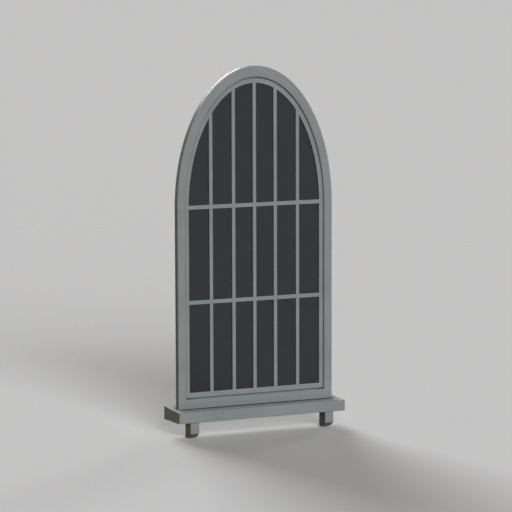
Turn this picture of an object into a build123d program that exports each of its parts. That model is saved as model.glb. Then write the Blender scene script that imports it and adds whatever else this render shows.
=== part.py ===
from build123d import *
from collections import namedtuple
import os

# Arched window: a fixed sash with glazing bars in a timber frame, standing on a sill with two brackets.
# X runs along the sill, Y from the front to the back and Z up, all in millimetres. The origin is the
# middle of the level bed on the sill's underside, where the window sits on the wall.

# Glass bays: from bar centre to bar centre, and from the last bar to the edge of the glass
CENTRE_BAY = 135.0
NEXT_BAY = 145.0
OUTER_BAY = 142.5
LOWER_BAY = 539.5
MIDDLE_BAY = 566.0
ARCH_BAY_RISE = 724.0

# Face widths, as seen from the front
BAR_FACE = 21.0
CROSS_BAR_FACE = 24.0
STILE_FACE = 26.0
SASH_RAIL_FACE = 30.5
SASH_CROWN_FACE = 34.5
JAMB_FACE = 51.5
FRAME_RAIL_FACE = 56.0
FRAME_CROWN_FACE = 66.5

# Depths, from the front to the back
LIP_D = 17.0        # the frame's lip, which stands in front of the sash
NOSING_D = 10.0     # sash and bars in front of the glass
WEB_D = 18.0        # sash and bars beside and behind the glass
GLASS_T = 4.0

# Laps, webs and clearances
LIP_LAP = 12.0      # the lip laps over the sash
GLASS_LAP = 10.0    # the sash laps over the glass
BAR_WEB = 9.0       # what is left of a bar between two panes
SASH_FIT = 0.5
GLASS_FIT = 1.5
BAR_FIT = 0.2

# The frame's front edges: eased outside and bevelled round the lip, which on the bottom rail falls to the
# front instead, to shed rain
FRAME_EDGE_R = 6.0
LIP_BEVEL = 4.0
RAIL_FALL = 7.0

# Sill, with a throat under its front edge that sheds drips
SILL_T = 72.0       # from the level bed to the frame's level seat
FRONT_LEDGE = 106.0
BACK_LEDGE = 98.5
END_OVERHANG = 38.0
FRONT_FALL = 1.3    # the top falls from the seat to the front edge
BACK_RISE = 4.2     # and rises from the seat to the back edge
FRONT_LIFT = 6.3    # the underside rises from the bed to the front edge
BACK_DROP = 6.8     # and drops from the bed to the back edge
BED_W = 56.0
SILL_EDGE_R = 3.0
THROAT_W = 10.0
THROAT_D = 6.0
THROAT_INSET = 22.0
THROAT_STOP = 30.0

# Brackets, let into the sill's underside, with the lower front corner cut away.
# Their heights are measured down from the sill's lower front edge.
BRACKET_W = 54.5
BRACKET_D = 85.5
BRACKET_INSET = 74.0
BRACKET_SETBACK = 5.0
BRACKET_FRONT_H = 67.5
BRACKET_BACK_H = 101.0
CUT_D = 38.0
CUT_H = 24.5
HOUSING_D = 6.0
HOUSING_FIT = 0.2
BRACKET_EDGE_R = 2.0

# Depth planes
FRAME_D = LIP_D + NOSING_D + WEB_D
SILL_D = FRONT_LEDGE + FRAME_D + BACK_LEDGE
SILL_FRONT_Y = -SILL_D / 2
SILL_BACK_Y = SILL_D / 2
FRONT_Y = SILL_FRONT_Y + FRONT_LEDGE
STOP_Y = FRONT_Y + LIP_D
GLASS_Y = STOP_Y + NOSING_D
BACK_Y = GLASS_Y + WEB_D

# Heights
FRAME_Z = SILL_T
RAIL_FRONT_Z = FRAME_Z + FRAME_RAIL_FACE
SIGHT_Z = RAIL_FRONT_Z + RAIL_FALL
LIGHT_Z = SIGHT_Z + SASH_RAIL_FACE
LOWER_CROSS_Z = LIGHT_Z + LOWER_BAY
SPRING_Z = LOWER_CROSS_Z + MIDDLE_BAY

# Outlines with straight sides up to the springing line and a semi-ellipse above it
Outline = namedtuple("Outline", "half bottom rise")


def grown(outline, by):
    """The same outline, wider, deeper and higher by one amount all round."""
    return Outline(outline.half + by, outline.bottom - by, outline.rise + by)


LIGHT = Outline(CENTRE_BAY + NEXT_BAY + OUTER_BAY, LIGHT_Z, ARCH_BAY_RISE)
SIGHT = Outline(LIGHT.half + STILE_FACE, SIGHT_Z, LIGHT.rise + SASH_CROWN_FACE)
OUTER = Outline(SIGHT.half + JAMB_FACE, FRAME_Z, SIGHT.rise + FRAME_CROWN_FACE)
SASH_REBATE = grown(SIGHT, LIP_LAP)
SASH = grown(SASH_REBATE, -SASH_FIT)
GLASS_REBATE = grown(LIGHT, GLASS_LAP)

BAR_XS = [-CENTRE_BAY - NEXT_BAY, -CENTRE_BAY, 0.0, CENTRE_BAY, CENTRE_BAY + NEXT_BAY]
TOP_Z = SPRING_Z + OUTER.rise
SILL_L = 2 * (OUTER.half + END_OVERHANG)
BRACKET_X = SILL_L / 2 - BRACKET_INSET - BRACKET_W / 2
BRACKET_FRONT_Y = SILL_FRONT_Y + SILL_EDGE_R + BRACKET_SETBACK
BRACKET_BACK_Y = BRACKET_FRONT_Y + BRACKET_D
BRACKET_TOP_Z = FRONT_LIFT + HOUSING_D
BRACKET_FRONT_Z = FRONT_LIFT - BRACKET_FRONT_H
BRACKET_BACK_Z = FRONT_LIFT - BRACKET_BACK_H

os.makedirs("parts", exist_ok=True)


def facing(depth):
    """Upright plane at a depth: local x is X, local y is Z, and it faces the front."""
    return Plane(origin=(0, depth, 0), x_dir=(1, 0, 0), z_dir=(0, -1, 0))


def arched(outline):
    """Sketch of an arch-headed outline."""
    with BuildSketch() as drawn:
        with BuildLine():
            Polyline(
                (outline.half, SPRING_Z),
                (outline.half, outline.bottom),
                (-outline.half, outline.bottom),
                (-outline.half, SPRING_Z),
            )
            EllipticalCenterArc((0, SPRING_Z), outline.half, outline.rise, arc_size=180)
        make_face()
    return drawn.sketch


def left_arch(outer, inner):
    """Sketch of the left half of the band between two outlines, above the springing line."""
    with BuildSketch() as drawn:
        with Locations((0, SPRING_Z)):
            Ellipse(outer.half, outer.rise)
            Ellipse(inner.half, inner.rise, mode=Mode.SUBTRACT)
            Rectangle(outer.half, outer.rise, align=(Align.MAX, Align.MIN), mode=Mode.INTERSECT)
    return drawn.sketch


# Frame: jambs, bottom rail and an arched head in two halves that meet at the crown.
# A lip all round its front stops the sash, which is put in from the back. The bevel on the jambs' lip
# stops at the bottom rail's front edge, so that rail and jambs meet flush.
with BuildPart() as frame_left_jamb:
    with BuildSketch(Plane.XY.offset(FRAME_Z)):
        with Locations((-OUTER.half, FRONT_Y)):
            Rectangle(OUTER.half - SIGHT.half, LIP_D, align=Align.MIN)
        with Locations((-OUTER.half, STOP_Y)):
            Rectangle(OUTER.half - SASH_REBATE.half, NOSING_D + WEB_D, align=Align.MIN)
    extrude(amount=SPRING_Z - FRAME_Z)
    outer_edges = frame_left_jamb.edges().filter_by(Axis.Z).group_by(Axis.X)[0]
    fillet(outer_edges.sort_by(Axis.Y)[0], FRAME_EDGE_R)
    with BuildSketch(Plane.XY.offset(RAIL_FRONT_Z)):
        with BuildLine():
            Polyline(
                (-SIGHT.half, FRONT_Y),
                (-SIGHT.half - LIP_BEVEL, FRONT_Y),
                (-SIGHT.half, FRONT_Y + LIP_BEVEL),
                close=True,
            )
        make_face()
    extrude(amount=SPRING_Z - RAIL_FRONT_Z, mode=Mode.SUBTRACT)
frame_left_jamb.part.label = "frame_left_jamb"
export_step(frame_left_jamb.part, "parts/frame_left_jamb.step")

with BuildPart() as frame_right_jamb:
    mirror(frame_left_jamb.part, about=Plane.YZ)
frame_right_jamb.part.label = "frame_right_jamb"
export_step(frame_right_jamb.part, "parts/frame_right_jamb.step")

with BuildPart() as frame_bottom_rail:
    with BuildSketch(Plane.YZ):
        with BuildLine():
            Polyline(
                (FRONT_Y, FRAME_Z),
                (FRONT_Y, RAIL_FRONT_Z),
                (STOP_Y, SIGHT.bottom),
                (STOP_Y, FRAME_Z),
                close=True,
            )
        make_face()
    extrude(amount=SIGHT.half, both=True)
    with BuildSketch(facing(BACK_Y)):
        with Locations((0, FRAME_Z)):
            Rectangle(2 * SASH_REBATE.half, SASH_REBATE.bottom - FRAME_Z, align=(Align.CENTER, Align.MIN))
    extrude(amount=NOSING_D + WEB_D)
frame_bottom_rail.part.label = "frame_bottom_rail"
export_step(frame_bottom_rail.part, "parts/frame_bottom_rail.step")

with BuildPart() as frame_left_arch:
    with BuildSketch(facing(STOP_Y)):
        add(left_arch(OUTER, SIGHT))
    extrude(amount=LIP_D)
    with BuildSketch(facing(BACK_Y)):
        add(left_arch(OUTER, SASH_REBATE))
    extrude(amount=NOSING_D + WEB_D)
    front_edges = frame_left_arch.edges().filter_by(GeomType.ELLIPSE).group_by(Axis.Y)[0]
    lip_edge, outer_edge = front_edges.sort_by(SortBy.LENGTH)
    fillet(outer_edge, FRAME_EDGE_R)
    chamfer(lip_edge, LIP_BEVEL)
frame_left_arch.part.label = "frame_left_arch"
export_step(frame_left_arch.part, "parts/frame_left_arch.step")

with BuildPart() as frame_right_arch:
    mirror(frame_left_arch.part, about=Plane.YZ)
frame_right_arch.part.label = "frame_right_arch"
export_step(frame_right_arch.part, "parts/frame_right_arch.step")

# Sash: stiles, bottom rail and an arched head in two halves, rebated at the back for the glass
with BuildPart() as sash_left_stile:
    with BuildSketch(Plane.XY.offset(SASH.bottom)):
        with Locations((-SASH.half, STOP_Y)):
            Rectangle(SASH.half - LIGHT.half, NOSING_D, align=Align.MIN)
        with Locations((-SASH.half, GLASS_Y)):
            Rectangle(SASH.half - GLASS_REBATE.half, WEB_D, align=Align.MIN)
    extrude(amount=SPRING_Z - SASH.bottom)
sash_left_stile.part.label = "sash_left_stile"
export_step(sash_left_stile.part, "parts/sash_left_stile.step")

with BuildPart() as sash_right_stile:
    mirror(sash_left_stile.part, about=Plane.YZ)
sash_right_stile.part.label = "sash_right_stile"
export_step(sash_right_stile.part, "parts/sash_right_stile.step")

with BuildPart() as sash_bottom_rail:
    with BuildSketch(facing(GLASS_Y)):
        with Locations((0, SASH.bottom)):
            Rectangle(2 * LIGHT.half, LIGHT.bottom - SASH.bottom, align=(Align.CENTER, Align.MIN))
    extrude(amount=NOSING_D)
    with BuildSketch(facing(BACK_Y)):
        with Locations((0, SASH.bottom)):
            rail_h = GLASS_REBATE.bottom - SASH.bottom
            Rectangle(2 * GLASS_REBATE.half, rail_h, align=(Align.CENTER, Align.MIN))
    extrude(amount=WEB_D)
sash_bottom_rail.part.label = "sash_bottom_rail"
export_step(sash_bottom_rail.part, "parts/sash_bottom_rail.step")

with BuildPart() as sash_left_arch:
    with BuildSketch(facing(GLASS_Y)):
        add(left_arch(SASH, LIGHT))
    extrude(amount=NOSING_D)
    with BuildSketch(facing(BACK_Y)):
        add(left_arch(SASH, GLASS_REBATE))
    extrude(amount=WEB_D)
sash_left_arch.part.label = "sash_left_arch"
export_step(sash_left_arch.part, "parts/sash_left_arch.step")

with BuildPart() as sash_right_arch:
    mirror(sash_left_arch.part, about=Plane.YZ)
sash_right_arch.part.label = "sash_right_arch"
export_step(sash_right_arch.part, "parts/sash_right_arch.step")

# Vertical bars: a nosing in front of the glass, its top scribed to the arch and cut out where the
# cross bars pass, on a web that runs on between the panes to the bottom of the sash's rebate
CROSS_ZS = [LOWER_CROSS_Z, SPRING_Z]
for number, x in enumerate(BAR_XS, start=1):
    with BuildPart() as vertical_bar:
        with BuildSketch(facing(GLASS_Y)):
            add(arched(grown(LIGHT, -BAR_FIT)))
            with Locations((x, 0)):
                Rectangle(BAR_FACE, TOP_Z, align=(Align.CENTER, Align.MIN), mode=Mode.INTERSECT)
            with Locations(*[(x, z) for z in CROSS_ZS]):
                Rectangle(BAR_FACE, CROSS_BAR_FACE + 2 * BAR_FIT, mode=Mode.SUBTRACT)
        extrude(amount=NOSING_D)
        with BuildSketch(facing(BACK_Y)):
            add(arched(grown(GLASS_REBATE, -BAR_FIT)))
            with Locations((x, 0)):
                Rectangle(BAR_WEB, TOP_Z, align=(Align.CENTER, Align.MIN), mode=Mode.INTERSECT)
        extrude(amount=WEB_D)
    vertical_bar.part.label = f"vertical_bar_{number}"
    export_step(vertical_bar.part, f"parts/vertical_bar_{number}.step")

# Cross bars: one nosing from stile to stile, halved over the webs of the vertical bars
for name, z in zip(("lower_cross_bar", "upper_cross_bar"), CROSS_ZS):
    with BuildPart() as cross_bar:
        with BuildSketch(facing(GLASS_Y)):
            add(arched(grown(LIGHT, -BAR_FIT)))
            with Locations((0, z)):
                Rectangle(2 * LIGHT.half, CROSS_BAR_FACE, mode=Mode.INTERSECT)
        extrude(amount=NOSING_D)
        with BuildSketch(facing(BACK_Y)):
            add(arched(grown(GLASS_REBATE, -BAR_FIT)))
            with Locations((0, z)):
                Rectangle(2 * GLASS_REBATE.half, BAR_WEB, mode=Mode.INTERSECT)
            with Locations(*[(x, z) for x in BAR_XS]):
                Rectangle(BAR_WEB + 2 * BAR_FIT, BAR_WEB, mode=Mode.SUBTRACT)
        extrude(amount=WEB_D)
    cross_bar.part.label = name
    export_step(cross_bar.part, f"parts/{name}.step")

# Panes: seated from the back on the nosings, clear of the webs and of the rebate's walls
COLUMN_LINES = [-OUTER.half, *BAR_XS, OUTER.half]
ROW_LINES = [FRAME_Z, *CROSS_ZS, TOP_Z]
PANE_MARGIN = BAR_WEB / 2 + GLASS_FIT
for row, low, high in zip(("lower", "middle", "upper"), ROW_LINES, ROW_LINES[1:]):
    for number, (left, right) in enumerate(zip(COLUMN_LINES, COLUMN_LINES[1:]), start=1):
        with BuildPart() as pane:
            with BuildSketch(facing(GLASS_Y + GLASS_T)):
                add(arched(grown(GLASS_REBATE, -GLASS_FIT)))
                with Locations(((left + right) / 2, (low + high) / 2)):
                    pane_w = right - left - 2 * PANE_MARGIN
                    pane_h = high - low - 2 * PANE_MARGIN
                    Rectangle(pane_w, pane_h, mode=Mode.INTERSECT)
            extrude(amount=GLASS_T)
        pane.part.label = f"{row}_pane_{number}"
        export_step(pane.part, f"parts/{row}_pane_{number}.step")

# Sill: one section, seen from the end, that is thicker at the back. Its top falls to the front and its
# underside falls to the back, both level in the middle, for the frame's seat and for the bed. The
# outer edges are eased. A stopped throat and a shallow housing for each bracket are cut from below.
with BuildPart() as sill:
    with BuildSketch(Plane.YZ):
        with BuildLine():
            Polyline(
                (SILL_FRONT_Y, FRONT_LIFT),
                (SILL_FRONT_Y, SILL_T - FRONT_FALL),
                (FRONT_Y, SILL_T),
                (BACK_Y, SILL_T),
                (SILL_BACK_Y, SILL_T + BACK_RISE),
                (SILL_BACK_Y, -BACK_DROP),
                (BED_W / 2, 0),
                (-BED_W / 2, 0),
                close=True,
            )
        make_face()
    extrude(amount=SILL_L / 2, both=True)
    long_edges = sill.edges().filter_by(Axis.X).group_by(Axis.Y)
    end_edges = sill.edges().filter_by(Axis.X, reverse=True)
    fillet(long_edges[0] + long_edges[-1] + end_edges, SILL_EDGE_R)
    with BuildSketch():
        with Locations((0, SILL_FRONT_Y + THROAT_INSET)):
            SlotOverall(SILL_L - 2 * THROAT_STOP, THROAT_W)
    extrude(amount=FRONT_LIFT + THROAT_D, mode=Mode.SUBTRACT)
    with BuildSketch():
        bracket_y = (BRACKET_FRONT_Y + BRACKET_BACK_Y) / 2
        with Locations((-BRACKET_X, bracket_y), (BRACKET_X, bracket_y)):
            Rectangle(BRACKET_W + 2 * HOUSING_FIT, BRACKET_D + 2 * HOUSING_FIT)
    extrude(amount=BRACKET_TOP_Z, mode=Mode.SUBTRACT)
sill.part.label = "sill"
export_step(sill.part, "parts/sill.step")

# Brackets: one profile, seen from the side, carried across the bracket's width
for name, x in (("left_bracket", -BRACKET_X), ("right_bracket", BRACKET_X)):
    with BuildPart() as bracket:
        with BuildSketch(Plane.YZ.offset(x)):
            with BuildLine():
                Polyline(
                    (BRACKET_FRONT_Y, BRACKET_TOP_Z),
                    (BRACKET_FRONT_Y, BRACKET_FRONT_Z),
                    (BRACKET_FRONT_Y + CUT_D, BRACKET_FRONT_Z - CUT_H),
                    (BRACKET_BACK_Y, BRACKET_BACK_Z),
                    (BRACKET_BACK_Y, BRACKET_TOP_Z),
                    close=True,
                )
            make_face()
        extrude(amount=BRACKET_W / 2, both=True)
        fillet(bracket.edges().filter_by(Axis.Z).group_by(Axis.Y)[0], BRACKET_EDGE_R)
    bracket.part.label = name
    export_step(bracket.part, f"parts/{name}.step")
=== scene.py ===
# %% [markdown]
# An arched timber window, dressed for its portrait. The solid pieces come ready made from the
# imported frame: a frame with a half-elliptical head, a sash with five upright and two level glazing
# bars, eighteen panes, a sill and two brackets. This lesson gives each of them its finish, adds the
# putty that holds the glass in from behind, and then sets up a small studio and the camera.
# Lengths are metres and the axes are the frame's own: X along the sill, Y from the face of the
# window towards its back, Z up.

# %% Load the frame
import math

import bpy
import numpy as np
from mathutils import Matrix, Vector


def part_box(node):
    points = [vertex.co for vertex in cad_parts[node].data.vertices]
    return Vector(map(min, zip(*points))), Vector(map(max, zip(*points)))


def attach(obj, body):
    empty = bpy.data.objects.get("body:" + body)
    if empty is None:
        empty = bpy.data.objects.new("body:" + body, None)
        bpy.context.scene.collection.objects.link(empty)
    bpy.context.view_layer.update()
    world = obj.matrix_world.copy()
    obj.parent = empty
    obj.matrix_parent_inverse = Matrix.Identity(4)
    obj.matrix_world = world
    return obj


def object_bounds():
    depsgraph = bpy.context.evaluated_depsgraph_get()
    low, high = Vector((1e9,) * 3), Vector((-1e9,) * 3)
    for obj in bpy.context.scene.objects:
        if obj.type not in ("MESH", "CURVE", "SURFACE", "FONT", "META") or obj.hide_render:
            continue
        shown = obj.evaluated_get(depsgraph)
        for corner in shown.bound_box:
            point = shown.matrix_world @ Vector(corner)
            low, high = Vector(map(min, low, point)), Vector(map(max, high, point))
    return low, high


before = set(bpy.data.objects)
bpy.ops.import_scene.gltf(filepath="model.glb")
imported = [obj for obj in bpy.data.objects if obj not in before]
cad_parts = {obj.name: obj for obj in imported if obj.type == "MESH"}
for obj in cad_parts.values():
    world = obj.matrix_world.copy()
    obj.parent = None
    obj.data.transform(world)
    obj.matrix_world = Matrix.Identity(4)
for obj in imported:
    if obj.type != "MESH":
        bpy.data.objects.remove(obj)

cad_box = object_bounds()
MM = 0.001
print("pieces in the frame:", len(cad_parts))
print("box in mm:", [[round(value / MM, 1) for value in corner] for corner in cad_box])

# %% [markdown]
# Colours are easiest to pick as hex codes, which are what a screen shows. A shader works with the
# amount of light instead, so every code goes through the sRGB curve once, in one place.

# %% Turn a hex colour into light


def light_of(hex_code):
    """The linear RGBA of an sRGB hex code: each channel over 255, then the sRGB curve undone."""
    channels = np.array([int(hex_code[start:start + 2], 16) for start in (1, 3, 5)]) / 255
    low = channels / 12.92
    high = ((channels + 0.055) / 1.055) ** 2.4
    return (*np.where(channels <= 0.04045, low, high).tolist(), 1.0)


print("mid grey #808080 is", round(light_of("#808080")[0], 3), "of full light")

# %% [markdown]
# A node tree is a list of nodes and the links between them. One helper is enough to write any of
# them down in a readable way: the kind of node, its options, and for each input either a number or
# the output of a node that was made before. Most sockets go by name. Where several share one, they
# go by their place instead: the numbers of a Math node, the shaders of a Mix Shader, and the colours
# of a Mix node, which come behind its numbers. A Noise Texture gives its value first.

# %% Add one node with its settings and links
MIX_FACTOR = 0
MIX_FIRST = 6
MIX_SECOND = 7
MIX_RESULT = 2
NOISE_VALUE = 0


def add_node(tree, kind, inputs=None, **options):
    """A new node of this kind; an input is set to its value, or linked if it is a socket."""
    node = tree.nodes.new(kind)
    for option, value in options.items():
        setattr(node, option, value)
    for name, value in (inputs or {}).items():
        if isinstance(value, bpy.types.NodeSocket):
            tree.links.new(value, node.inputs[name])
        else:
            node.inputs[name].default_value = value
    return node


def new_material(name):
    """An empty material: its node tree and its surface output."""
    material = bpy.data.materials.new(name)
    material.use_nodes = True
    material.node_tree.nodes.clear()
    surface = add_node(material.node_tree, "ShaderNodeOutputMaterial").inputs["Surface"]
    return material, material.node_tree, surface


print("materials that came with the frame:", len(bpy.data.materials))

# %% [markdown]
# Joinery is painted along the wood: the brush follows each piece, so its fine ridges run up the
# jambs, across the rails and round the arch. On a straight piece that is a pattern squeezed
# across the piece and drawn out along it. Round the arch the same pattern is laid on bent
# coordinates: the angle about the springing line, and the distance from the middle of the arch.
# Real bristle marks are well under a millimetre apart. They are drawn ten times as wide here, so
# that the camera can see them at all.

# %% Lay out the brush strokes
STROKE_WIDTH = 7 * MM
STROKE_LENGTH = 260 * MM

spring_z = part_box("frame_left_arch")[0].z
arch_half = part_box("frame_right_arch")[1].x
arch_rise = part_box("frame_right_arch")[1].z - spring_z


def straight_strokes(tree, length_axis):
    """Object coordinates divided by the stroke's length along one axis and by its width across."""
    size = [STROKE_WIDTH] * 3
    size["XYZ".index(length_axis)] = STROKE_LENGTH
    place = add_node(tree, "ShaderNodeTexCoord").outputs["Object"]
    mapping = add_node(
        tree, "ShaderNodeMapping", {"Vector": place, "Scale": [1 / value for value in size]}
    )
    return mapping.outputs["Vector"]


def arch_strokes(tree):
    """Bent coordinates for the arch, in strokes.

    With x and z measured in half widths and rises of the arch, the angle atan2(z, x) times the
    half width is the way along, and the root of x squared plus z squared, times the half width,
    is the way across.
    """
    place = add_node(tree, "ShaderNodeTexCoord").outputs["Object"]
    squeeze = add_node(
        tree,
        "ShaderNodeMapping",
        {
            "Vector": place,
            "Location": (0, 0, -spring_z / arch_rise),
            "Scale": (1 / arch_half, 1 / STROKE_WIDTH, 1 / arch_rise),
        },
    )
    axes = add_node(tree, "ShaderNodeSeparateXYZ", {"Vector": squeeze.outputs["Vector"]})
    angle = add_node(
        tree,
        "ShaderNodeMath",
        {0: axes.outputs["Z"], 1: axes.outputs["X"]},
        operation="ARCTAN2",
    )
    flat = add_node(
        tree, "ShaderNodeCombineXYZ", {"X": axes.outputs["X"], "Y": axes.outputs["Z"]}
    )
    radius = add_node(
        tree, "ShaderNodeVectorMath", {0: flat.outputs["Vector"]}, operation="LENGTH"
    )
    along = add_node(
        tree,
        "ShaderNodeMath",
        {0: angle.outputs["Value"], 1: arch_half / STROKE_LENGTH},
        operation="MULTIPLY",
    )
    across = add_node(
        tree,
        "ShaderNodeMath",
        {0: radius.outputs["Value"], 1: arch_half / STROKE_WIDTH},
        operation="MULTIPLY",
    )
    bent = add_node(
        tree,
        "ShaderNodeCombineXYZ",
        {
            "X": across.outputs["Value"],
            "Y": axes.outputs["Y"],
            "Z": along.outputs["Value"],
        },
    )
    return bent.outputs["Vector"]


print(f"arch: {arch_half / MM:.0f} mm half width, {arch_rise / MM:.0f} mm rise")

# %% [markdown]
# The inner corners of the window are painted darker, as painted shade, most of all on faces that
# look up. Painting it by hand would have to be done again for every change of shape.
# The Ambient Occlusion node finds such corners by itself: it measures how much of the space round a
# point is free.

# %% Paint shade into the corners
SHADE_REACH = 90 * MM
CLOSED_CORNER = 0.57
OPEN_SURFACE = 0.93
UPRIGHT_SHARE = 0.15


def painted_corner_shade(tree, upward):
    """The amount of painted shade, from 0 to 1, where upward is the height of the surface's normal.

    It fades out smoothly from a closed corner to a surface with free space round it. An upright
    face gets only a share of the painted shade that a level one gets.
    """
    free_space = add_node(tree, "ShaderNodeAmbientOcclusion", {"Distance": SHADE_REACH})
    corner = add_node(
        tree,
        "ShaderNodeMapRange",
        {"Value": free_space.outputs["AO"], "From Min": OPEN_SURFACE, "From Max": CLOSED_CORNER},
        interpolation_type="SMOOTHSTEP",
    )
    share = add_node(tree, "ShaderNodeMapRange", {"Value": upward, "To Min": UPRIGHT_SHARE})
    painted_shade = add_node(
        tree,
        "ShaderNodeMath",
        {0: corner.outputs["Result"], 1: share.outputs["Result"]},
        operation="MULTIPLY",
    )
    return painted_shade.outputs["Value"]


print(f"dust settles within {SHADE_REACH / MM:.0f} mm of a corner")

# %% [markdown]
# The paint is a cool mid grey, satin rather than glossy. Satin alkyd paint brushed on primed
# softwood dries to a hard, even film: the eye sees one colour that drifts a little from patch to
# patch. Noise of two sizes gives that drift, broad patches times fine strokes. Painted light then
# goes on the colour: faces that look up are painted paler, as painted top light, and the corners
# are painted darker, as painted shade.

# %% Colour the paint
PAINT_DEEP = "#848A8B"
PAINT_PALE = "#919798"
PATCH_SIZE = 220 * MM
PATCH_DETAIL = 3.0
TONE_LOW, TONE_HIGH = 0.08, 0.42
# Painted top light: the paler grey that level faces are painted with.
PAINTED_TOP_LIGHT = "#AEB2B2"
LEVEL_ENOUGH = 0.8
# Painted shade: the dark grey that the corners are painted with.
CORNER_SHADE = "#363938"


def grey_tone_and_painted_light(tree, strokes, top_light):
    """The paint's colour: deep to pale by patches times strokes, then painted top light, then
    painted shade in the corners.

    The painted top light takes its share of the colour on faces that are level enough.
    """
    place = add_node(tree, "ShaderNodeTexCoord").outputs["Object"]
    patches = add_node(
        tree,
        "ShaderNodeTexNoise",
        {"Vector": place, "Scale": 1 / PATCH_SIZE, "Detail": PATCH_DETAIL},
    )
    tone = add_node(
        tree,
        "ShaderNodeMath",
        {0: patches.outputs[NOISE_VALUE], 1: strokes},
        operation="MULTIPLY",
    )
    spread = add_node(
        tree,
        "ShaderNodeMapRange",
        {"Value": tone.outputs["Value"], "From Min": TONE_LOW, "From Max": TONE_HIGH},
    )
    paint_tone = add_node(
        tree,
        "ShaderNodeMix",
        {
            MIX_FACTOR: spread.outputs["Result"],
            MIX_FIRST: light_of(PAINT_DEEP),
            MIX_SECOND: light_of(PAINT_PALE),
        },
        data_type="RGBA",
    )
    normal = add_node(tree, "ShaderNodeNewGeometry").outputs["Normal"]
    upward = add_node(tree, "ShaderNodeSeparateXYZ", {"Vector": normal}).outputs["Z"]
    # Painted top light: faces that look up are painted paler.
    lit_top_share = add_node(
        tree,
        "ShaderNodeMapRange",
        {"Value": upward, "From Min": LEVEL_ENOUGH, "To Max": top_light},
    )
    top_lit = add_node(
        tree,
        "ShaderNodeMix",
        {
            MIX_FACTOR: lit_top_share.outputs["Result"],
            MIX_FIRST: paint_tone.outputs[MIX_RESULT],
            MIX_SECOND: light_of(PAINTED_TOP_LIGHT),
        },
        data_type="RGBA",
    )
    # Painted shade: the corners of every paint are painted darker.
    corner_shaded = add_node(
        tree,
        "ShaderNodeMix",
        {
            MIX_FACTOR: painted_corner_shade(tree, upward),
            MIX_FIRST: top_lit.outputs[MIX_RESULT],
            MIX_SECOND: light_of(CORNER_SHADE),
        },
        data_type="RGBA",
    )
    return corner_shaded.outputs[MIX_RESULT]


print("paint from", PAINT_DEEP, "to", PAINT_PALE)

# %% [markdown]
# The sheen is soft and breaks up along the strokes, so the same strokes that colour the paint also
# set its roughness and raise its ridges. Hands and weather have dulled the lower pieces, and the
# arch, out of reach, keeps a little more gloss. Only the sill is painted paler on top, as painted
# top light. One function makes every paint, and the layout of the strokes, the gloss and the share
# of painted top light are handed to it, so the versions can't drift apart.

# %% Mix the satin paint
STROKE_DETAIL = 4.0
STROKE_GRAIN = 0.6
STROKE_LOW, STROKE_HIGH = 0.3, 0.7
STROKE_HEIGHT = 0.25 * MM
RIDGE_STRENGTH = 0.35
SATIN_LOW, SATIN_HIGH = 0.31, 0.43
WORN_GLOSS = 0.01
ARCH_GLOSS = 0.05
PAINT_IOR = 1.5


def satin_paint(name, strokes_for, gloss=WORN_GLOSS, top_light=0.0):
    """Brushed satin paint, with one noise of strokes for its colour, roughness and bump."""
    material, tree, surface = new_material(name)
    brush = add_node(
        tree,
        "ShaderNodeTexNoise",
        {
            "Vector": strokes_for(tree),
            "Scale": 1.0,
            "Detail": STROKE_DETAIL,
            "Roughness": STROKE_GRAIN,
        },
    )
    strokes = brush.outputs[NOISE_VALUE]
    sheen = add_node(
        tree,
        "ShaderNodeMapRange",
        {
            "Value": strokes,
            "From Min": STROKE_LOW,
            "From Max": STROKE_HIGH,
            "To Min": SATIN_LOW,
            "To Max": SATIN_HIGH,
        },
    )
    ridges = add_node(
        tree,
        "ShaderNodeBump",
        {"Height": strokes, "Strength": RIDGE_STRENGTH, "Distance": STROKE_HEIGHT},
    )
    shader = add_node(
        tree,
        "ShaderNodeBsdfPrincipled",
        {
            "Base Color": grey_tone_and_painted_light(tree, strokes, top_light),
            "Roughness": sheen.outputs["Result"],
            "Specular IOR Level": gloss,
            "Normal": ridges.outputs["Normal"],
            "IOR": PAINT_IOR,
        },
    )
    tree.links.new(shader.outputs["BSDF"], surface)
    return material


upright_paint = satin_paint("satin paint on upright timber", lambda tree: straight_strokes(tree, "Z"))
level_paint = satin_paint("satin paint on level timber", lambda tree: straight_strokes(tree, "X"))
arch_paint = satin_paint("satin paint on arched timber", arch_strokes, gloss=ARCH_GLOSS)
block_paint = satin_paint("satin paint on bracket blocks", lambda tree: straight_strokes(tree, "Y"))
# Only the sill's paint gets the painted top light, paler on its level faces.
sill_paint = satin_paint("chalked satin paint", lambda tree: straight_strokes(tree, "X"), top_light=1.0)
print("paints:", [material.name for material in bpy.data.materials])

# %% [markdown]
# The panes are dark grey tinted glass, so deep that nothing shows through. Clear glass would need
# a dark room behind it to look the same. A tinted sheet keeps that look wherever the window
# stands. Rolled or float glass is never perfectly flat, so a slow ripple bends its reflections.

# %% Tint the glass
GLASS_DEEP = "#2D3034"
GLASS_PALE = "#313438"
RIPPLE_SIZE = 140 * MM
RIPPLE_HEIGHT = 0.4 * MM
RIPPLE_DETAIL = 1.0
RIPPLE_STRENGTH = 0.3
GLASS_ROUGHNESS = 0.12
GLASS_GLOSS = 0.3
GLASS_IOR = 1.5


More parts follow.
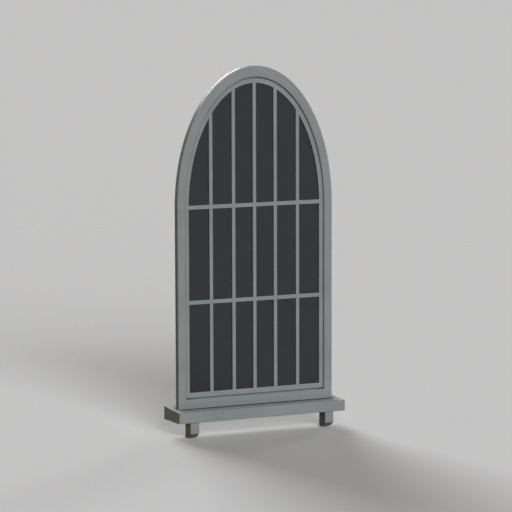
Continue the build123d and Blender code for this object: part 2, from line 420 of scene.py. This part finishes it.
def tinted_glass():
    """Dark glass: a polished, almost opaque sheet with a slow ripple and a faint drift in depth."""
    material, tree, surface = new_material("dark grey tinted glass")
    place = add_node(tree, "ShaderNodeTexCoord").outputs["Object"]
    ripple = add_node(
        tree,
        "ShaderNodeTexNoise",
        {"Vector": place, "Scale": 1 / RIPPLE_SIZE, "Detail": RIPPLE_DETAIL},
    )
    depth = add_node(
        tree,
        "ShaderNodeMix",
        {
            MIX_FACTOR: ripple.outputs[NOISE_VALUE],
            MIX_FIRST: light_of(GLASS_DEEP),
            MIX_SECOND: light_of(GLASS_PALE),
        },
        data_type="RGBA",
    )
    wave = add_node(
        tree,
        "ShaderNodeBump",
        {
            "Height": ripple.outputs[NOISE_VALUE],
            "Strength": RIPPLE_STRENGTH,
            "Distance": RIPPLE_HEIGHT,
        },
    )
    shader = add_node(
        tree,
        "ShaderNodeBsdfPrincipled",
        {
            "Base Color": depth.outputs[MIX_RESULT],
            "Roughness": GLASS_ROUGHNESS,
            "Specular IOR Level": GLASS_GLOSS,
            "Normal": wave.outputs["Normal"],
            "IOR": GLASS_IOR,
        },
    )
    tree.links.new(shader.outputs["BSDF"], surface)
    return material


glass = tinted_glass()
print("glass:", glass.name)

# %% [markdown]
# Every solid now gets the finish that suits the way it was painted. The names tell which way a
# piece runs: arches, upright jambs, stiles and bars, level rails and cross bars, and brackets,
# which run from front to back. The sill has the paint with painted top light to itself.

# %% Give the solids their finishes
FINISHES = {
    "pane": glass,
    "arch": arch_paint,
    "jamb": upright_paint,
    "stile": upright_paint,
    "vertical": upright_paint,
    "bracket": block_paint,
    "rail": level_paint,
    "cross": level_paint,
    "sill": sill_paint,
}
for name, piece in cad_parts.items():
    finish = next(material for word, material in FINISHES.items() if word in name)
    piece.data.materials.clear()
    piece.data.materials.append(finish)
print("finished solids:", len(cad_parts))

# %% [markdown]
# Behind each pane a fillet of putty fills the corner between the glass and the timber. The glazier
# presses it in and draws a knife round the pane, which leaves a sloping, slightly hollow face. Its
# inner edge stops just short of the bars' front edge, so that none of it shows from the front.
# First come the two lines that the fillet runs between: the sight line on the glass and the wall
# of the rebate. Both go round the pane the same way with the same number of points.

# %% Trace the sight line and the wall round each pane
HIDDEN_EDGE = 0.4 * MM
GLASS_GAP = 1.5 * MM
SIDE_STEPS = 24
SHORTEST_SIDE = 5 * MM
NEAR_MIDDLE = 0.1 * MM
BAR_COUNT = 5

bars = [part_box(f"vertical_bar_{number}") for number in range(1, BAR_COUNT + 1)]
cross_bars = [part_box("lower_cross_bar"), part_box("upper_cross_bar")]
light_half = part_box("sash_right_stile")[0].x
light_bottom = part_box("sash_bottom_rail")[1].z
glass_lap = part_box("sash_bottom_rail")[1].x - light_half


def light_apex():
    """The height of the light's crown: the lowest point of the arch's end face, where x is zero."""
    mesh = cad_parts["sash_left_arch"].data
    points = np.empty(3 * len(mesh.vertices))
    mesh.vertices.foreach_get("co", points)
    points = points.reshape(-1, 3)
    return points[np.abs(points[:, 0]) < NEAR_MIDDLE, 2].min()


light_rise = light_apex() - spring_z


def pane_line(left, right, bottom, top, half, rise):
    """The closed line round one opening, from its lower left corner, as an array of (x, z).

    Straight sides are evenly spaced. A side with no height given for its top follows the arch:
    x is half times the cosine of an angle and z is the springing plus rise times its sine. A side
    that the arch has all but taken away is left out.
    """
    steps = np.linspace(0, 1, SIDE_STEPS, endpoint=False)[:, None]
    if top is None:
        angles = np.arccos(np.array([right, left]) / half)
        angle = angles[0] + (angles[1] - angles[0]) * steps
        crown = np.hstack([half * np.cos(angle), spring_z + rise * np.sin(angle)])
        ends = spring_z + rise * np.sin(angles)
    else:
        ends = np.array([top, top])
        crown = np.hstack([right + (left - right) * steps, np.full_like(steps, top)])
    sill_side = np.hstack([left + (right - left) * steps, np.full_like(steps, bottom)])
    right_side = np.hstack([np.full_like(steps, right), bottom + (ends[0] - bottom) * steps])
    left_side = np.hstack([np.full_like(steps, left), ends[1] + (bottom - ends[1]) * steps])
    sides = [sill_side, right_side, crown, left_side]
    return np.vstack([side for side in sides if np.ptp(side, axis=0).max() > SHORTEST_SIDE])


print(f"light: {light_half / MM:.1f} mm half width, {light_rise / MM:.1f} mm rise")

# %% [markdown]
# A surface with two parameters is a grid of points. Here one parameter goes round the pane and the
# other goes round the fillet's small three-sided section. Both close on themselves, so the result
# is a closed ring with no edge left open.

# %% Turn a grid of points into a closed mesh
SHARP_ANGLE = math.radians(28)


def closed_ring(name, points, material):
    """A mesh from a grid of points (around, section, 3) that closes in both directions.

    Each face takes a point, the next one on the section, and the same two one step further round.
    In that order the faces of a ring that is traced anticlockwise look outwards.
    """
    index = np.arange(points[..., 0].size).reshape(points.shape[:2])
    across = np.roll(index, -1, axis=1)
    faces = np.stack(
        [index, across, np.roll(across, -1, axis=0), np.roll(index, -1, axis=0)], axis=-1
    )
    mesh = bpy.data.meshes.new(name)
    mesh.from_pydata(points.reshape(-1, 3).tolist(), [], faces.reshape(-1, 4).tolist())
    mesh.polygons.foreach_set("use_smooth", np.ones(len(mesh.polygons), dtype=bool))
    mesh.set_sharp_from_angle(angle=SHARP_ANGLE)
    mesh.materials.append(material)
    piece = bpy.data.objects.new(name, mesh)
    bpy.context.scene.collection.objects.link(piece)
    return piece


print(f"edges sharper than {math.degrees(SHARP_ANGLE):.0f} degrees stay crisp")

# %% [markdown]
# Linseed oil putty is chalk ground in oil. It skins over within weeks and is then painted with
# the sash, so it has the paint's colour. The knife leaves it a little rougher than the timber. Its
# real lumps are under a millimetre. They are drawn several times as wide here, so that they show.

# %% Mix the painted putty
PUTTY_GRIT = 4 * MM
PUTTY_DEEP = "#7E8587"
PUTTY_PALE = "#878E90"
GRIT_DETAIL = 2.0
LUMP_HEIGHT = 0.2 * MM
LUMP_STRENGTH = 0.3
PUTTY_ROUGHNESS = 0.6


def painted_putty():
    """Paint over putty: the paint's grey, duller, with a fine lumpy grain instead of strokes."""
    material, tree, surface = new_material("paint over linseed putty")
    place = add_node(tree, "ShaderNodeTexCoord").outputs["Object"]
    grit = add_node(
        tree,
        "ShaderNodeTexNoise",
        {"Vector": place, "Scale": 1 / PUTTY_GRIT, "Detail": GRIT_DETAIL},
    )
    colour = add_node(
        tree,
        "ShaderNodeMix",
        {
            MIX_FACTOR: grit.outputs[NOISE_VALUE],
            MIX_FIRST: light_of(PUTTY_DEEP),
            MIX_SECOND: light_of(PUTTY_PALE),
        },
        data_type="RGBA",
    )
    lumps = add_node(
        tree,
        "ShaderNodeBump",
        {
            "Height": grit.outputs[NOISE_VALUE],
            "Strength": LUMP_STRENGTH,
            "Distance": LUMP_HEIGHT,
        },
    )
    shader = add_node(
        tree,
        "ShaderNodeBsdfPrincipled",
        {
            "Base Color": colour.outputs[MIX_RESULT],
            "Roughness": PUTTY_ROUGHNESS,
            "Normal": lumps.outputs["Normal"],
            "IOR": PAINT_IOR,
        },
    )
    tree.links.new(shader.outputs["BSDF"], surface)
    return material


putty_finish = painted_putty()
print("putty:", putty_finish.name)

# %% [markdown]
# Now one fillet. Across the section the face runs from the timber's back edge to the sight line and
# is drawn in by a shallow hollow. Along the pane the knife wavers by a few tenths of a millimetre,
# a whole number of times round, so that the start meets the end.

# %% Shape one fillet
FACE_STEPS = 6
SET_BACK = 1.2 * MM
HOLLOW = 0.7 * MM
WAVER = 0.2 * MM
WAVES = (7, 11)
SKIN_GAP = 0.05 * MM

glass_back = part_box("lower_pane_1")[1].y
timber_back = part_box("sash_left_stile")[1].y


def putty_fillet(name, sight, wall):
    """One ring of putty between the sight line and the wall, both arrays of (x, z) points.

    The face goes from the wall at the timber's back edge (v = 0) to the sight line at the glass
    (v = 1) in a straight line, less the hollow times sin(pi v), plus the knife's waver, which is a
    sum of sines of the way round. The section then closes along the glass and up the wall.
    """
    v = np.linspace(0, 1, FACE_STEPS)[None, :]
    around = np.linspace(0, 2 * np.pi, len(sight), endpoint=False)[:, None]
    waver = WAVER * sum(np.sin(count * around + count) for count in WAVES) / len(WAVES)
    depth = (timber_back - SET_BACK) + (glass_back + SKIN_GAP - timber_back + SET_BACK) * v
    depth = depth - (HOLLOW - waver) * np.sin(np.pi * v)
    line = wall[:, None, :] + (sight - wall)[:, None, :] * v[..., None]
    face = np.stack([line[..., 0], depth, line[..., 1]], axis=-1)
    corner = np.full((len(wall), 1), glass_back + SKIN_GAP)
    foot = np.stack([wall[:, :1], corner, wall[:, 1:]], axis=-1)
    ring = closed_ring(name, np.concatenate([face, foot], axis=1), putty_finish)
    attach(ring, "root")
    return ring


print(f"putty between {glass_back / MM:.1f} and {timber_back / MM:.1f} mm")

# %% [markdown]
# The panes stand in three rows of six. The bars and the sash give the edges of each opening as it
# is seen, and the pane itself gives the rebate. Both are grown a little: the sight line, to stay
# hidden behind the bars, and the pane's edge, to reach the wall. In the top row the arch cuts both.

# %% Run the putty round all eighteen panes


def opening_line(edges, half, rise, grow):
    """The line round an opening given as (left, right, bottom, top), grown outwards all round.

    Under the arch the sides end where the arch meets the opening's bottom edge.
    """
    left, right, bottom, top = edges
    bottom = bottom - grow
    half = half + grow
    rise = rise + grow
    if top is None:
        reach = half * math.sqrt(1 - ((bottom - spring_z) / rise) ** 2)
        return pane_line(max(left - grow, -reach), min(right + grow, reach), bottom, None, half, rise)
    return pane_line(left - grow, right + grow, bottom, top + grow, half, rise)


columns = [-light_half, *[edge for low, high in bars for edge in (low.x, high.x)], light_half]
rows = {
    "lower": (light_bottom, cross_bars[0][0].z),
    "middle": (cross_bars[0][1].z, cross_bars[1][0].z),
    "upper": (cross_bars[1][1].z, None),
}
fillets = []
for row, (bottom, top) in rows.items():
    for number in range(1, BAR_COUNT + 2):
        low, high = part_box(f"{row}_pane_{number}")
        seen = (*columns[2 * number - 2:2 * number], bottom, top)
        pane = (low.x, high.x, low.z, high.z if top else None)
        sight = opening_line(seen, light_half, light_rise, HIDDEN_EDGE)
        pane_half = light_half + glass_lap - GLASS_GAP
        pane_rise = light_rise + glass_lap - GLASS_GAP
        wall = opening_line(pane, pane_half, pane_rise, GLASS_GAP - SKIN_GAP)
        fillets.append(putty_fillet(f"putty_{row}_{number}", sight, wall))
face_count = sum(len(ring.data.polygons) for ring in fillets)
print("putty fillets:", len(fillets), "with", face_count, "faces")

# %% [markdown]
# A pale studio throws light back at the window from every side. A photographer stops that with
# dark cloth laid round the set, just out of the picture. In Blender the same set can be pale to
# look at and dim as a source of light, because a shader may ask what kind of ray has reached it.
# Rays from the camera, and those that a shiny or a clear surface sends on, see the pale set.

# %% Tell the rays that look from the rays that light


def looking_ray(tree):
    """1 for a camera, glossy or transmission ray and 0 for the rest: the largest of the three."""
    rays = add_node(tree, "ShaderNodeLightPath")
    sent_on = add_node(
        tree,
        "ShaderNodeMath",
        {0: rays.outputs["Is Glossy Ray"], 1: rays.outputs["Is Transmission Ray"]},
        operation="MAXIMUM",
    )
    either = add_node(
        tree,
        "ShaderNodeMath",
        {0: rays.outputs["Is Camera Ray"], 1: sent_on.outputs["Value"]},
        operation="MAXIMUM",
    )
    return either.outputs["Value"]


print("rays that look: camera, glossy, transmission")

# %% [markdown]
# The studio is a wide pale floor and nothing else. From the camera's height the floor fills the
# whole picture, so no horizon cuts behind the window. It is a plain matt grey that takes the
# window's shadow, and the little light that it sends on is olive, as from dark cloth round the set.

# %% Lay the floor
FLOOR_COLOUR = "#E2E2E3"
FLOOR_BOUNCE = "#4C461C"
FLOOR_HALF = 150.0

floor_mesh = bpy.data.meshes.new("studio_floor")
corners = np.array([[-1, -1], [1, -1], [1, 1], [-1, 1]]) * FLOOR_HALF
floor_points = np.column_stack([corners, np.full(4, cad_box[0].z)])
floor_mesh.from_pydata(floor_points.tolist(), [], [[0, 1, 2, 3]])
floor = bpy.data.objects.new("studio_floor", floor_mesh)
bpy.context.scene.collection.objects.link(floor)
floor_finish, floor_tree, floor_surface = new_material("matt studio floor")
floor_colour = add_node(
    floor_tree,
    "ShaderNodeMix",
    {
        MIX_FACTOR: looking_ray(floor_tree),
        MIX_FIRST: light_of(FLOOR_BOUNCE),
        MIX_SECOND: light_of(FLOOR_COLOUR),
    },
    data_type="RGBA",
)
floor_shader = add_node(
    floor_tree, "ShaderNodeBsdfDiffuse", {"Color": floor_colour.outputs[MIX_RESULT]}
)
floor_tree.links.new(floor_shader.outputs["BSDF"], floor_surface)
floor_mesh.materials.append(floor_finish)
print("floor at", round(cad_box[0].z / MM, 1), "mm")

# %% [markdown]
# Four broad lamps do the work. The front one stands low before the window, a step to the left, and
# lights its face. One as strong stands straight behind and a little above: it picks out the top of
# the sill and glances off the rim of the arch. Two weak ones fill the sides, a yellow one on the left
# and a plain one on the right, so that neither side is lost in the dark. A lamp with a single bright
# point would throw hard shadows that wander with its distance. These are sun lamps with a wide
# disc: they fall evenly over the whole floor, and their shadows have soft edges.

# %% Hang the lamps
LAMPS = {
    "front": {"strength": 2.64, "angle": 35, "colour": "#FFFEFF", "from": (-0.08, -0.93, 0.34)},
    "back": {"strength": 2.6, "angle": 30, "colour": "#FFFFFF", "from": (0.05, 0.9, 0.43)},
    "left": {"strength": 0.26, "angle": 20, "colour": "#FFE820", "from": (-0.97, 0.2, 0.1)},
    "right": {"strength": 0.8, "angle": 20, "colour": "#FFFFFF", "from": (0.8, 0.6, 0.2)},
}
for name, lamp in LAMPS.items():
    data = bpy.data.lights.new(name, "SUN")
    data.energy = lamp["strength"]
    data.angle = math.radians(lamp["angle"])
    data.color = light_of(lamp["colour"])[:3]
    sun = bpy.data.objects.new(name, data)
    bpy.context.scene.collection.objects.link(sun)
    away = np.array(lamp["from"]) / np.linalg.norm(lamp["from"])
    side = np.cross((0, 0, 1), away)
    side = side / np.linalg.norm(side)
    turn = np.column_stack([side, np.cross(away, side), away])
    sun.matrix_world = Matrix(turn.tolist()).to_4x4()
print("lamps:", list(LAMPS))

# %% [markdown]
# The room round the studio is dim and a little warm, so that the lamps shape the window. Where a
# looking ray goes past the edge of the floor, it meets the floor's own pale grey instead.

# %% Set the surroundings
ROOM_COLOUR = "#FFF4D8"
ROOM_STRENGTH = 0.03
BACKGROUND_COLOUR = "#C4C4C4"

world = bpy.data.worlds.new("studio")
bpy.context.scene.world = world
world.use_nodes = True
sky = world.node_tree
sky.nodes.clear()
dim_room = add_node(
    sky, "ShaderNodeBackground", {"Color": light_of(ROOM_COLOUR), "Strength": ROOM_STRENGTH}
)
pale_room = add_node(sky, "ShaderNodeBackground", {"Color": light_of(BACKGROUND_COLOUR)})
room = add_node(
    sky,
    "ShaderNodeMixShader",
    {0: looking_ray(sky), 1: dim_room.outputs["Background"], 2: pale_room.outputs["Background"]},
)
add_node(sky, "ShaderNodeOutputWorld", {"Surface": room.outputs["Shader"]})
bpy.context.scene.view_settings.view_transform = "Standard"
print("room light:", ROOM_STRENGTH)

# %% [markdown]
# The camera stands well back with a long lens, a little to the left of the window and above its
# middle, and looks slightly down. Its turn is built from three directions: right, up and back.

# %% Place the camera
AZIMUTH = math.radians(-23.35)
ELEVATION = math.radians(7.4)
ROLL = math.radians(-0.18)
AIM_RIGHT = 45.7 * MM
AIM_BEHIND_FACE = 103.5 * MM
AIM_ABOVE_SILL = 877.6 * MM
DISTANCE = 16.1
LENS_MM = 188.73
FAR_CLIP = 500.0

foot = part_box("frame_bottom_rail")[0]
aim = np.array([AIM_RIGHT, foot.y + AIM_BEHIND_FACE, foot.z + AIM_ABOVE_SILL])
back = np.array(
    [
        math.sin(AZIMUTH) * math.cos(ELEVATION),
        -math.cos(AZIMUTH) * math.cos(ELEVATION),
        math.sin(ELEVATION),
    ]
)
level_right = np.array([math.cos(AZIMUTH), math.sin(AZIMUTH), 0])
level_up = np.cross(back, level_right)
right = math.cos(ROLL) * level_right + math.sin(ROLL) * level_up
up = np.cross(back, right)
camera_data = bpy.data.cameras.new("camera")
camera_data.lens = LENS_MM
camera_data.clip_end = FAR_CLIP
camera = bpy.data.objects.new("camera", camera_data)
bpy.context.scene.collection.objects.link(camera)
turn = np.column_stack([right, up, back])
camera.matrix_world = Matrix.Translation(aim + DISTANCE * back) @ Matrix(turn.tolist()).to_4x4()
bpy.context.scene.camera = camera
print("camera at", [round(value, 2) for value in camera.location])
